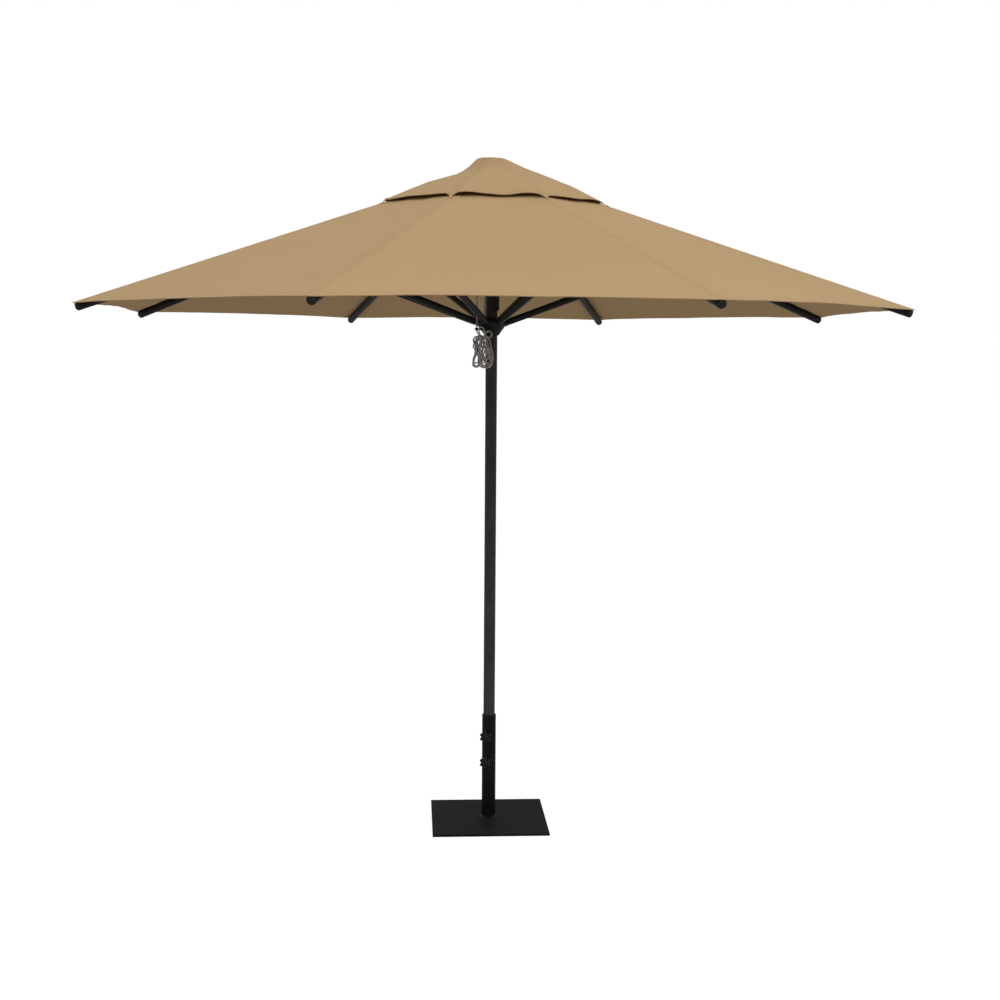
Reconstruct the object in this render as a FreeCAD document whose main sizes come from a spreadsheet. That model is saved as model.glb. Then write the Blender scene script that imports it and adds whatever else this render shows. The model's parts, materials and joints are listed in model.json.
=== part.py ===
import FreeCAD, Part
import math
import os

from FreeCAD import Placement, Rotation, Vector

# A centre-pole patio umbrella: a mast in a plate base, eight folding ribs with eight struts,
# a runner that slides on the pole, a vented octagonal canopy and a pulley rope.
# Origin: centre of the base plate's underside. +Z is up and the plate's sides lie along X and Y.

doc = FreeCAD.newDocument("PatioUmbrella")

# ---------------------------------------------------------------- driving dimensions
SIZES = [
    # base
    ("plateSide", 500, "side of the square base plate"),
    ("plateThickness", 10, "base plate thickness"),
    ("plateChamfer", 1.5, "chamfer on the plate's upper edges"),
    ("socketRadius", 30.15, "outside radius of the socket tube"),
    ("socketWall", 2.9, "wall of the socket tube"),
    ("socketHeight", 460, "height of the socket above the plate"),
    ("weldLeg", 7, "leg of the fillet weld round the socket's foot"),
    ("knobHigh", 380, "height of the upper knob"),
    ("knobLow", 266, "height of the lower knob"),
    ("knobAzimuth", -110, "direction the knobs point to, from +X"),
    ("studRadius", 5, "radius of a knob's threaded stud"),
    ("nutRadius", 11, "radius of a welded nut"),
    ("nutFace", 44, "distance of a nut's outer face from the pole's axis"),
    ("gripStart", 46, "distance of a grip's inner face from the pole's axis"),
    ("gripDepth", 16, "length of a grip along its stud"),
    ("gripCore", 17, "radius of a grip's round core"),
    ("lobeRadius", 6.5, "radius of a grip's lobe"),
    ("lobeCentre", 18.5, "distance of a lobe's centre from the stud's axis"),
    # pole
    ("poleRadius", 25, "outside radius of the pole"),
    ("poleWall", 3, "wall of the pole"),
    ("plugFlange", 3, "thickness of the foot plug's flange"),
    ("plugDepth", 30, "length of the plug inside the pole"),
    # folding linkage
    ("pivotRadius", 60, "distance of the hub and runner pivots from the axis"),
    ("hubHeight", 2752, "height of the hub pivots"),
    ("linkLength", 885, "strut length between pivots, equal to the rib's inner span"),
    ("ribSlope", 19, "slope of an open rib, in degrees"),
    ("ribOffset", 36, "distance of a rib's axis above its pivots"),
    ("ribRadius", 17, "outside radius of a rib tube"),
    ("ribWall", 2, "wall of a rib tube"),
    ("ribTail", 20, "length of a rib behind its hub pivot"),
    ("ribReach", 1745, "length of a rib beyond its hub pivot"),
    ("capLength", 20, "length of a rib's end cap outside the tube"),
    ("strutRadius", 14, "outside radius of a strut tube"),
    ("strutWall", 2, "wall of a strut tube"),
    ("pinRadius", 3, "radius of every pivot pin"),
    ("pinHalf", 17, "half length of a hub or runner pin"),
    ("slotWidth", 12.6, "width of a pivot slot in the hub and the runner"),
    ("tongueWidth", 10, "thickness of a rib bracket's tongue"),
    ("endWidth", 12, "thickness of a strut's inner tongue"),
    ("hubRim", 14, "radius of the round rim of the hub and the runner"),
    # runner
    ("runnerBore", 28.1, "bore of the runner, round its bush"),
    ("runnerTop", 24, "height of the runner's collar above its pivots"),
    ("runnerFoot", 50, "depth of the runner's cone below its pivots"),
    ("collarRadius", 34, "outside radius of the runner's upper collar"),
    ("bushGap", 0.35, "running clearance between the bush and the pole"),
    # stop on the pole above the runner
    ("stopFoot", 51, "height of the stop's foot above the runner pivots"),
    ("stopTop", 170, "height of the stop's top above the runner pivots"),
    ("stopRing", 40, "height of the stop's clamp ring"),
    ("stopAzimuth", -68, "direction of the stop's finger, from +X"),
    ("stopCentre", 33, "distance of the finger's axis from the pole's axis"),
    ("stopRadius", 18.5, "radius of the stop's finger"),
    ("screwHeight", 58, "height of the stop's thumbscrew above the runner pivots"),
    ("screwAzimuth", -80, "direction the thumbscrew points to, from +X"),
    ("screwStart", 51.3, "distance of the thumbscrew's head from the pole's axis"),
    # rope and pulley
    ("ropeRadius", 3, "radius of the hoist rope"),
    ("ropeAzimuth", -137, "direction of the rope from the pole, from +X"),
    ("sheaveCentre", 66, "distance of the sheave's centre from the axis"),
    ("sheaveTrack", 24, "radius of the rope's line round the sheave"),
    ("sheaveDrop", 52, "depth of the sheave's axle below the hub pivots"),
    ("eyeDrop", 27, "depth of the middle of the rope eye below the runner pivots"),
    # crown and canopy
    ("crownRadius", 58, "radius of the crown cap"),
    ("crownTop", 2864, "height of the crown cap's top"),
    ("crownThickness", 8, "thickness of the crown cap's disc"),
    ("stemRadius", 12, "radius of the crown cap's stem"),
    ("canopyRadius", 1750, "distance of the canopy's corners from the axis"),
    ("canopyOpening", 260, "circumradius of the wind vent's opening"),
    ("fabricThickness", 2, "thickness of the canopy solids"),
    ("fabricGap", 0.6, "gap between a rib's top and the canopy"),
    ("seamGap", 0.3, "half gap between neighbouring canopy sectors"),
    ("ventRadius", 485, "distance of the vent cap's corners from the axis"),
    ("ventInner", 62, "inner circumradius of the vent cap"),
    ("ventTop", 2868, "height of the vent cap at its inner edge"),
    ("ventLift", 13, "height of the vent cap's hem above the canopy"),
]

RIB_COUNT = 8
FIRST_RIB = 22.5  # degrees from +X, so that the canopy's sides face along X and Y
STEP = 360 / RIB_COUNT
SIDEWAYS = Rotation(Vector(1, 0, 0), -90)  # turns a primitive's +Z to +Y
OUTWARD = Rotation(Vector(0, 1, 0), 90)  # turns a primitive's +Z to +X

sheet = doc.addObject("Spreadsheet::Sheet", "Sizes")
for row, (alias, value, note) in enumerate(SIZES, start=1):
    sheet.set(f"A{row}", note)
    sheet.set(f"B{row}", str(value))
    sheet.setAlias(f"B{row}", alias)
doc.recompute()


def size(alias):
    """The value of one driving dimension, in millimetres or degrees."""
    return float(sheet.get(alias))


PIVOT_R = size("pivotRadius")
HUB_Z = size("hubHeight")
LINK = size("linkLength")
SLOPE = math.radians(size("ribSlope"))
RUNNER_Z = HUB_Z - 2 * LINK * math.sin(SLOPE)
STRUT_R = PIVOT_R + LINK * math.cos(SLOPE)
STRUT_Z = HUB_Z - LINK * math.sin(SLOPE)

subparts = {}


def bind(obj, **expressions):
    """Binds properties of an object to expressions over the sheet's aliases, written as S.alias."""
    for name, expression in expressions.items():
        obj.setExpression(name, expression.replace("S.", "Sizes."))
    return obj


def place(obj, position, rotation=None):
    obj.Placement = Placement(Vector(*position), rotation or Rotation())
    return obj


def cylinder(name, radius, height, position=(0, 0, 0), rotation=None):
    obj = bind(doc.addObject("Part::Cylinder", name), Radius=radius, Height=height)
    return place(obj, position, rotation)


def box(name, length, width, height, position=(0, 0, 0), rotation=None):
    obj = doc.addObject("Part::Box", name)
    bind(obj, Length=length, Width=width, Height=height)
    return place(obj, position, rotation)


def torus(name, major, minor, position=(0, 0, 0)):
    obj = bind(doc.addObject("Part::Torus", name), Radius1=major, Radius2=minor)
    return place(obj, position)


def fuse(name, *shapes):
    obj = doc.addObject("Part::MultiFuse", name)
    obj.Shapes = list(shapes)
    return obj


def cut(name, base, *tools):
    obj = doc.addObject("Part::Cut", name)
    obj.Base = base
    obj.Tool = tools[0] if len(tools) == 1 else fuse(name + "_tools", *tools)
    return obj


def group(name, *shapes):
    """Several separate solids in one node."""
    obj = doc.addObject("Part::Compound", name)
    obj.Links = list(shapes)
    return obj


def subpart(label, obj):
    """Marks an object as a piece of its own, written to a file named by its label."""
    obj.Label = label
    subparts[label] = obj
    return obj


def about_z(obj, azimuth):
    """Turns an object as built, with its radius along +X, to an azimuth about the pole's axis."""
    obj.Placement = Placement(Vector(), Rotation(Vector(0, 0, 1), azimuth)).multiply(obj.Placement)
    return obj


def rib_azimuth(index):
    return FIRST_RIB + STEP * index


# ---------------------------------------------------------------- base
def origin_plane(body, role):
    return next(f for f in body.Origin.OriginFeatures if f.Role == role)


def make_base_plate():
    body = doc.addObject("PartDesign::Body", "base_plate_body")
    sketch = body.newObject("Sketcher::SketchObject", "plate_outline")
    sketch.AttachmentSupport = (origin_plane(body, "XY_Plane"), [""])
    sketch.MapMode = "FlatFace"
    half = size("plateSide") / 2
    corners = [Vector(-half, -half), Vector(half, -half), Vector(half, half), Vector(-half, half)]
    import Sketcher

    for start, end in zip(corners, corners[1:] + corners[:1]):
        sketch.addGeometry(Part.LineSegment(start, end), False)
    for line in range(4):
        sketch.addConstraint(Sketcher.Constraint("Coincident", line, 2, (line + 1) % 4, 1))
        sketch.addConstraint(Sketcher.Constraint("Vertical" if line % 2 else "Horizontal", line))
    width = sketch.addConstraint(Sketcher.Constraint("DistanceX", 0, 1, 0, 2, 2 * half))
    depth = sketch.addConstraint(Sketcher.Constraint("DistanceY", 1, 1, 1, 2, 2 * half))
    sketch.addConstraint(Sketcher.Constraint("Symmetric", 0, 1, 1, 2, -1, 1))
    sketch.setExpression(f"Constraints[{width}]", "Sizes.plateSide")
    sketch.setExpression(f"Constraints[{depth}]", "Sizes.plateSide")
    pad = body.newObject("PartDesign::Pad", "plate_pad")
    pad.Profile = sketch
    bind(pad, Length="S.plateThickness")
    doc.recompute()
    top = next(
        f"Face{i}" for i, face in enumerate(pad.Shape.Faces, 1) if face.normalAt(0, 0).z > 0.9
    )
    chamfer = body.newObject("PartDesign::Chamfer", "plate_chamfer")
    chamfer.Base = (pad, [top])
    bind(chamfer, Size="S.plateChamfer")
    subpart("base_plate", body)


def radial_tool(name, radius, start, length, height, azimuth):
    """A cylinder that points outwards from the pole's axis, at a height and an azimuth."""
    tool = cylinder(name, radius, length, (start, 0, height), OUTWARD)
    return about_z(tool, azimuth)


def make_socket():
    base_top = size("plateThickness")
    foot = (0, 0, base_top)
    tube = cylinder("socket_outside", "S.socketRadius", "S.socketHeight", foot)
    weld = bind(
        doc.addObject("Part::Cone", "socket_weld"),
        Radius1="S.socketRadius + S.weldLeg",
        Radius2="S.socketRadius - 0.1",
        Height="S.weldLeg",
    )
    place(weld, foot)
    bore = cylinder("socket_bore", "S.socketRadius - S.socketWall", "S.socketHeight", foot)
    holes = [
        radial_tool(f"socket_hole_{name}", "S.studRadius + 0.02", 0, "2 * S.socketRadius",
                    size(name), size("knobAzimuth"))
        for name in ("knobHigh", "knobLow")
    ]
    drain = radial_tool("socket_drain", "3", 0, "2 * S.socketRadius", base_top + 12, -93)
    subpart("base_socket", cut("socket_cut", fuse("socket_solid", tube, weld), bore, drain, *holes))


def make_nuts():
    solids = []
    for name in ("knobHigh", "knobLow"):
        height, azimuth = size(name), size("knobAzimuth")
        nut = radial_tool(f"nut_{name}", "S.nutRadius", 20, "S.nutFace - 20", height, azimuth)
        hole = radial_tool(f"nut_hole_{name}", "S.studRadius + 0.02", 0, "100", height, azimuth)
        clear = cylinder(f"nut_clear_{name}", "S.socketRadius + 0.05", "40", (0, 0, height - 20))
        solids.append(cut(f"nut_cut_{name}", nut, hole, clear))
    subpart("socket_nuts", group("nut_group", *solids))


def make_knob(label, height_name):
    """A six-lobed star grip moulded on a threaded stud with a flat tip."""
    height, azimuth, start = size(height_name), size("knobAzimuth"), size("gripStart")
    core = cylinder(f"{label}_core", "S.gripCore", "S.gripDepth")
    lobes = []
    for index in range(6):
        turn = math.radians(60 * index)
        centre = size("lobeCentre")
        lobes.append(cylinder(f"{label}_lobe_{index}", "S.lobeRadius", "S.gripDepth - 3",
                              (centre * math.cos(turn), centre * math.sin(turn), 1.5)))
    crown = bind(doc.addObject("Part::Cone", f"{label}_crown"),
                 Radius1="S.gripCore - 5", Radius2="S.gripCore - 9", Height="3")
    place(crown, (0, 0, size("gripDepth")))
    neck = cylinder(f"{label}_neck", "S.studRadius + 4", "S.gripDepth", (0, 0, -1.5))
    socket = cylinder(f"{label}_socket", "S.studRadius", "S.gripDepth - 4", (0, 0, -1.5))
    grip = cut(f"{label}_grip", fuse(f"{label}_star", core, crown, neck, *lobes), socket)
    place(grip, (start, 0, height), OUTWARD)
    about_z(grip, azimuth)
    tip = size("poleRadius") + 0.4
    end = start + size("gripDepth") - 5.5
    stud = radial_tool(f"{label}_stud", "S.studRadius - 0.05", tip, str(end - tip), height, azimuth)
    subpart(label, group(f"{label}_group", grip, stud))


# ---------------------------------------------------------------- mast
def make_pole():
    start = size("plateThickness") + size("plugFlange")
    top = HUB_Z + 8
    outside = cylinder("pole_outside", "S.poleRadius", str(top - start), (0, 0, start))
    inside = cylinder("pole_inside", "S.poleRadius - S.poleWall", str(top - start), (0, 0, start))
    subpart("pole", cut("pole_cut", outside, inside))

    foot = (0, 0, size("plateThickness"))
    flange = cylinder("plug_flange", "S.poleRadius", "S.plugFlange", foot)
    plug = cylinder("plug_body", "S.poleRadius - S.poleWall - 0.1", "S.plugDepth", foot)
    hollow = cylinder("plug_hollow", "S.poleRadius - S.poleWall - 5", "S.plugDepth",
                      (0, 0, size("plateThickness") + 5))
    subpart("pole_foot_plug", cut("plug_cut", fuse("plug_solid", flange, plug), hollow))


def pivot_disc(name, height):
    """The round-rimmed disc that the hub and the runner share."""
    rim = size("hubRim")
    disc = cylinder(f"{name}_disc", "S.pivotRadius", "2 * S.hubRim", (0, 0, height - rim))
    return [disc, torus(f"{name}_rim", "S.pivotRadius", "S.hubRim", (0, 0, height))]


def slot_tools(name, height, depth):
    """Eight radial slots, open at the top and outside, and the holes of their pins."""
    tools = []
    for index in range(RIB_COUNT):
        azimuth = rib_azimuth(index)
        width = size("slotWidth")
        slot = box(f"{name}_slot_{index}", "40", "S.slotWidth", "40",
                   (PIVOT_R - 15, -width / 2, height - depth))
        hole = cylinder(f"{name}_hole_{index}", "S.pinRadius + 0.05", "2 * S.pinHalf + 1",
                        (PIVOT_R, -size("pinHalf") - 0.5, height), SIDEWAYS)
        tools += [about_z(slot, azimuth), about_z(hole, azimuth)]
    return tools


def make_pins(label, height):
    pins = []
    for index in range(RIB_COUNT):
        pin = cylinder(f"{label}_{index}", "S.pinRadius", "2 * S.pinHalf",
                       (PIVOT_R, -size("pinHalf"), height), SIDEWAYS)
        pins.append(about_z(pin, rib_azimuth(index)))
    subpart(label, group(f"{label}_group", *pins))


def make_top_hub():
    collar = cylinder("hub_collar", "S.poleRadius + 8", "25", (0, 0, HUB_Z - size("hubRim") - 20))
    bore = cylinder("hub_bore", "S.poleRadius + 0.1", "60", (0, 0, HUB_Z - 51.9))
    solid = fuse("hub_solid", collar, *pivot_disc("hub", HUB_Z))
    subpart("top_hub", cut("hub_cut", solid, bore, *slot_tools("hub", HUB_Z, 12)))
    make_pins("hub_pins", HUB_Z)


def make_crown_cap():
    """A mushroom of moulded plastic that holds the vent cap up, clear of the ribs' ends."""
    top, thick = size("crownTop"), size("crownThickness")
    foot = HUB_Z + size("hubRim")
    stem = cylinder("crown_stem", "S.stemRadius", str(top - foot - thick / 2), (0, 0, foot))
    flange = cylinder("crown_flange", "S.stemRadius + 12", "4", (0, 0, foot))
    disc = cylinder("crown_disc", "S.crownRadius - S.crownThickness / 2", "S.crownThickness",
                    (0, 0, top - thick))
    edge = torus("crown_edge", "S.crownRadius - S.crownThickness / 2", "S.crownThickness / 2",
                 (0, 0, top - thick / 2))
    subpart("crown_cap", fuse("crown_solid", stem, flange, disc, edge))


def make_pulley():
    """A yoke under the hub with its axle, and the grooved sheave that the rope runs over."""
    azimuth, centre = size("ropeAzimuth"), size("sheaveCentre")
    axle_z = HUB_Z - size("sheaveDrop")
    hub_face = HUB_Z - size("hubRim")
    cheek_gap, cheek = 6.0, 2.5
    depth = hub_face - axle_z + 10
    plates = [
        box(f"yoke_cheek_{side}", "24", str(cheek), str(depth),
            (centre - 12, cheek_gap if side == "left" else -cheek_gap - cheek, hub_face - depth))
        for side in ("left", "right")
    ]
    top = box("yoke_top", "24", str(2 * (cheek_gap + cheek)), "4",
              (centre - 22, -cheek_gap - cheek, hub_face - 4))
    arm = box("yoke_arm", "12", str(2 * (cheek_gap + cheek)), "4",
              (centre - 12, -cheek_gap - cheek, hub_face - 4))
    half = cheek_gap + cheek + 1.5
    bore = cylinder("yoke_bore", "S.pinRadius + 0.05", str(2 * half),
                    (centre, -half, axle_z), SIDEWAYS)
    rim_clear = torus("yoke_rim_clear", "S.pivotRadius", "S.hubRim + 0.3", (0, 0, HUB_Z))
    yoke = cut("yoke_cut", fuse("yoke_solid", top, arm, *plates), bore)
    about_z(yoke, azimuth)
    trimmed = cut("yoke_trimmed", yoke, rim_clear)
    axle = cylinder("yoke_axle", "S.pinRadius", str(2 * half), (centre, -half, axle_z), SIDEWAYS)
    about_z(axle, azimuth)
    subpart("pulley_yoke", group("yoke_group", trimmed, axle))

    wheel = cylinder("sheave_wheel", "S.sheaveTrack + 1.5", "10", (0, 0, -5))
    groove = torus("sheave_groove", "S.sheaveTrack", "S.ropeRadius + 0.5")
    hole = cylinder("sheave_hole", "S.pinRadius + 0.1", "12", (0, 0, -6))
    sheave = cut("sheave_cut", wheel, groove, hole)
    place(sheave, (centre, 0, axle_z), SIDEWAYS)
    subpart("sheave", about_z(sheave, azimuth))


# ---------------------------------------------------------------- runner
def make_runner():
    foot, top = RUNNER_Z - size("runnerFoot"), RUNNER_Z + size("runnerTop")
    cone = bind(doc.addObject("Part::Cone", "runner_cone"),
                Radius1="S.runnerBore + 4", Radius2="S.pivotRadius - 1", Height="S.runnerFoot - 12")
    place(cone, (0, 0, foot))
    collar = cylinder("runner_collar", "S.collarRadius", "S.runnerTop", (0, 0, RUNNER_Z))
    eye_x = size("sheaveCentre") + size("sheaveTrack")
    eye_z = RUNNER_Z - size("eyeDrop") - 5
    azimuth = size("ropeAzimuth")
    arm = about_z(box("eye_arm", str(eye_x - 36), "14", "10", (36, -7, eye_z)), azimuth)
    ring = about_z(cylinder("eye_ring", "8", "10", (eye_x, 0, eye_z)), azimuth)
    eye = about_z(cylinder("eye_hole", "S.ropeRadius + 0.8", "12", (eye_x, 0, eye_z - 1)), azimuth)
    bore = cylinder("runner_bore", "S.runnerBore", str(top - foot + 2), (0, 0, foot - 1))
    solid = fuse("runner_solid", cone, collar, arm, ring, *pivot_disc("runner", RUNNER_Z))
    tools = slot_tools("runner", RUNNER_Z, 12)
    subpart("runner", cut("runner_cut", solid, bore, eye, *tools))
    make_pins("runner_pins", RUNNER_Z)

    bush_bore = cylinder("bush_bore", "S.poleRadius + S.bushGap", str(top - foot + 10),
                         (0, 0, foot - 5))
    bush_tube = cylinder("bush_tube", "S.runnerBore - 0.1", str(top - foot + 3), (0, 0, foot - 3))
    bush_flange = cylinder("bush_flange", "S.runnerBore + 3.5", "3", (0, 0, foot - 3))
    bush = fuse("bush_solid", bush_tube, bush_flange)
    subpart("runner_bush", cut("bush_cut", bush, bush_bore))


def make_stop():
    """A stop for the runner: a ring clamped on the pole with a finger that points down."""
    foot, top = RUNNER_Z + size("stopFoot"), RUNNER_Z + size("stopTop")
    height, azimuth = RUNNER_Z + size("screwHeight"), size("screwAzimuth")
    finger = cylinder("stop_finger", "S.stopRadius", "S.stopTop - S.stopFoot",
                      (size("stopCentre"), 0, foot))
    about_z(finger, size("stopAzimuth"))
    doc.recompute()
    rounded = doc.addObject("Part::Fillet", "stop_rounded")
    rounded.Base = finger
    ends = [n for n, e in enumerate(finger.Shape.Edges, 1) if e.Closed]
    rounded.Edges = [(n, 7.0, 7.0) for n in ends]
    ring = cylinder("stop_ring", "S.poleRadius + 6", "S.stopRing",
                    (0, 0, top - size("stopRing") - 8))
    bore = cylinder("stop_bore", "S.poleRadius + 0.1", "200", (0, 0, foot - 20))
    hole = radial_tool("stop_screw_hole", "S.pinRadius + 0.05", 20, "60", height, azimuth)
    subpart("runner_stop", cut("stop_cut", fuse("stop_solid", rounded, ring), bore, hole))

    start, tip = size("screwStart"), size("poleRadius") + 0.4
    shank = radial_tool("screw_shank", "S.pinRadius", tip, str(start - tip + 2), height, azimuth)
    head = cylinder("screw_head", "8.5", "7")
    flutes = []
    for index in range(12):
        turn = math.radians(30 * index)
        flutes.append(cylinder(f"screw_flute_{index}", "1.1", "10",
                               (9 * math.cos(turn), 9 * math.sin(turn), -1)))
    knurled = cut("screw_knurled", head, *flutes)
    place(knurled, (start, 0, height), OUTWARD)
    about_z(knurled, azimuth)
    subpart("stop_screw", fuse("screw_solid", shank, knurled))


# ---------------------------------------------------------------- ribs and struts
def rib_frame(index):
    """Placement of a rib's own frame: origin at the hub pivot, +X out along the rib, +Z up from it."""
    down = Placement(Vector(PIVOT_R, 0, HUB_Z), Rotation(Vector(0, 1, 0), size("ribSlope")))
    return Placement(Vector(), Rotation(Vector(0, 0, 1), rib_azimuth(index))).multiply(down)


def strut_frame(index):
    """Placement of a strut's own frame: origin at the runner pivot, +X out along the strut."""
    up = Placement(Vector(PIVOT_R, 0, RUNNER_Z), Rotation(Vector(0, 1, 0), -size("ribSlope")))
    return Placement(Vector(), Rotation(Vector(0, 0, 1), rib_azimuth(index))).multiply(up)


def along_x(name, radius, length, start, height):
    return cylinder(name, radius, length, (start, 0, height), OUTWARD)


def make_rib(index):
    offset, tail, reach = size("ribOffset"), size("ribTail"), size("ribReach")
    outside = along_x(f"rib_outside_{index}", "S.ribRadius", "S.ribTail + S.ribReach", -tail, offset)
    inside = along_x(f"rib_inside_{index}", "S.ribRadius - S.ribWall", "S.ribTail + S.ribReach",
                     -tail, offset)
    tube = cut(f"rib_cut_{index}", outside, inside)
    tube.Placement = rib_frame(index)
    subpart(f"rib_{index + 1}", tube)

    plug = along_x(f"cap_plug_{index}", "S.ribRadius - S.ribWall - 0.1", "25", reach - 24, offset)
    barrel = along_x(f"cap_barrel_{index}", "S.ribRadius + 0.3", "S.capLength", reach, offset)
    doc.recompute()
    rounded = doc.addObject("Part::Fillet", f"cap_rounded_{index}")
    rounded.Base = barrel
    outer = next(
        n for n, e in enumerate(barrel.Shape.Edges, 1)
        if e.Closed and e.CenterOfMass.x > reach + size("capLength") / 2
    )
    rounded.Edges = [(outer, 12.0, 12.0)]
    cap = fuse(f"cap_solid_{index}", plug, rounded)
    cap.Placement = rib_frame(index)
    subpart(f"rib_cap_{index + 1}", cap)


def bracket(name, pivot_x):
    """A saddle under the rib tube with a tongue that holds a pivot pin."""
    offset, half = size("ribOffset"), size("tongueWidth") / 2
    shell = along_x(f"{name}_shell", "S.ribRadius + 3", "40", pivot_x - 20, offset)
    tongue = box(f"{name}_tongue", "20", "S.tongueWidth", "S.ribOffset", (pivot_x - 10, -half, 0))
    knuckle = cylinder(f"{name}_knuckle", "10", "S.tongueWidth", (pivot_x, -half, 0), SIDEWAYS)
    tube = along_x(f"{name}_tube", "S.ribRadius + 0.1", "60", pivot_x - 30, offset)
    above = box(f"{name}_above", "60", "60", "40", (pivot_x - 30, -30, offset))
    bore = cylinder(f"{name}_bore", "S.pinRadius + 0.1", "20", (pivot_x, -10, 0), SIDEWAYS)
    solid = fuse(f"{name}_solid", shell, tongue, knuckle)
    return cut(f"{name}_cut", solid, tube, above, bore)


def make_rib_brackets(index):
    inner = bracket(f"hub_bracket_{index}", 0)
    outer = bracket(f"strut_bracket_{index}", LINK)
    pin = cylinder(f"strut_pin_{index}", "S.pinRadius", "23", (LINK, -11.5, 0), SIDEWAYS)
    pieces = group(f"bracket_group_{index}", inner, outer, pin)
    pieces.Placement = rib_frame(index)
    subpart(f"rib_brackets_{index + 1}", pieces)


def make_strut(index):
    """A tube with a tongue at the runner end and a fork at the rib end."""
    name, fork_half, start = f"strut_{index}", 9.9, 18.0
    tube = along_x(f"{name}_tube", "S.strutRadius", "S.linkLength - 36", start, 0)
    inside = along_x(f"{name}_inside", "S.strutRadius - S.strutWall", "S.linkLength - 80",
                     start + 16, 0)
    half = size("endWidth") / 2
    tongue = box(f"{name}_tongue", str(start + 4), "S.endWidth", "20", (0, -half, -10))
    knuckle = cylinder(f"{name}_knuckle", "10", "S.endWidth", (0, -half, 0), SIDEWAYS)
    inner_bore = cylinder(f"{name}_inner_bore", "S.pinRadius + 0.1", "30", (0, -15, 0), SIDEWAYS)
    fork = box(f"{name}_fork", str(start + 4), str(2 * fork_half), "22",
               (LINK - start - 4, -fork_half, -11))
    round_end = cylinder(f"{name}_round_end", "11", str(2 * fork_half),
                         (LINK, -fork_half, 0), SIDEWAYS)
    gap = box(f"{name}_gap", "40", "S.tongueWidth + 0.8", "40",
              (LINK - 13, -size("tongueWidth") / 2 - 0.4, -20))
    outer_bore = cylinder(f"{name}_outer_bore", "S.pinRadius + 0.1", "30",
                          (LINK, -15, 0), SIDEWAYS)
    solid = fuse(f"{name}_solid", tube, tongue, knuckle, fork, round_end)
    strut = cut(f"{name}_cut", solid, inside, inner_bore, gap, outer_bore)
    strut.Placement = strut_frame(index)
    subpart(f"strut_{index + 1}", strut)


# ---------------------------------------------------------------- canopy
def roof_halves(inner, outer, thickness, gap):
    """One rib's sector of an eight-sided roof, from half way to each neighbour, as two flat slabs.

    inner and outer are (circumradius, height) of the ridge's two ends. The ridge is over +X. The
    slabs stop short of the neighbouring sectors by a gap, and of each other by a hair.
    """
    half_step = math.radians(STEP / 2)
    fall = (outer[1] - inner[1]) / (outer[0] - inner[0])

    def point(x, y):
        reach = x + abs(y) * math.tan(half_step)
        return Vector(x, y, inner[1] + (reach - inner[0]) * fall)

    def side(radius):
        apothem = radius * math.cos(half_step)
        return (apothem * math.cos(half_step) + gap * math.sin(half_step),
                apothem * math.sin(half_step) - gap * math.cos(half_step))

    slabs, hair = [], 0.05
    for hand in (1, -1):
        plan = [(inner[0] - hair * math.tan(half_step), hair),
                (outer[0] - hair * math.tan(half_step), hair), side(outer[0]), side(inner[0])]
        loop = [point(x, hand * y) for x, y in plan]
        face = Part.Face(Part.makePolygon(loop + loop[:1]))
        slabs.append(face.extrude(Vector(0, 0, -thickness)))
    return slabs


def canopy_height(radius):
    """Height of the canopy's upper side over a rib, at a distance from the pole's axis."""
    lift = size("ribOffset") + size("ribRadius") + size("fabricGap")
    top = HUB_Z + lift / math.cos(SLOPE) + PIVOT_R * math.tan(SLOPE) + size("fabricThickness")
    return top - radius * math.tan(SLOPE)


def make_canopy(index):
    thickness, gap = size("fabricThickness"), size("seamGap")
    opening, corner = size("canopyOpening"), size("canopyRadius")
    main = roof_halves((opening, canopy_height(opening)), (corner, canopy_height(corner)),
                       thickness, gap)
    hem = size("ventRadius")
    vent = roof_halves((size("ventInner"), size("ventTop")),
                       (hem, canopy_height(hem) + size("ventLift")), thickness, gap)
    feature = doc.addObject("Part::Feature", f"canopy_feature_{index}")
    feature.Shape = Part.makeCompound(main + vent)
    feature.Placement = Placement(Vector(), Rotation(Vector(0, 0, 1), rib_azimuth(index)))
    subpart(f"canopy_sector_{index + 1}", feature)


# ---------------------------------------------------------------- rope
def swept_tube(name, edges, radius):
    """A round tube along a wire, checked against its section times its length."""
    path = Part.Wire(edges)
    start = path.Edges[0].firstVertex().Point
    tangent = path.Edges[0].tangentAt(path.Edges[0].FirstParameter)
    section = Part.Wire(Part.Circle(start, tangent, radius).toShape())
    tube = path.makePipeShell([section], True, True)
    expected = math.pi * radius**2 * path.Length
    if abs(tube.Volume - expected) > 0.01 * expected:
        raise RuntimeError(f"{name}: volume {tube.Volume:.1f}, expected {expected:.1f}")
    feature = doc.addObject("Part::Feature", name)
    feature.Shape = tube
    return feature


def polar(radius, height):
    """A point in the rope's plane, at a distance from the pole's axis."""
    turn = math.radians(size("ropeAzimuth"))
    return Vector(radius * math.cos(turn), radius * math.sin(turn), height)


def make_rope_fall():
    """The two tight falls over the sheave: from the runner's upper face, and down to its eye."""
    centre, track = size("sheaveCentre"), size("sheaveTrack")
    axle_z = HUB_Z - size("sheaveDrop")
    anchor = polar(centre - track, RUNNER_Z + size("hubRim") + 0.5)
    up, over, down = (
        polar(centre - track, axle_z), polar(centre, axle_z + track), polar(centre + track, axle_z)
    )
    eye = polar(centre + track, RUNNER_Z - size("eyeDrop"))
    edges = [
        Part.LineSegment(anchor, up).toShape(),
        Part.Arc(up, over, down).toShape(),
        Part.LineSegment(down, eye).toShape(),
    ]
    subpart("rope_fall", swept_tube("rope_fall_feature", edges, size("ropeRadius")))


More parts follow.
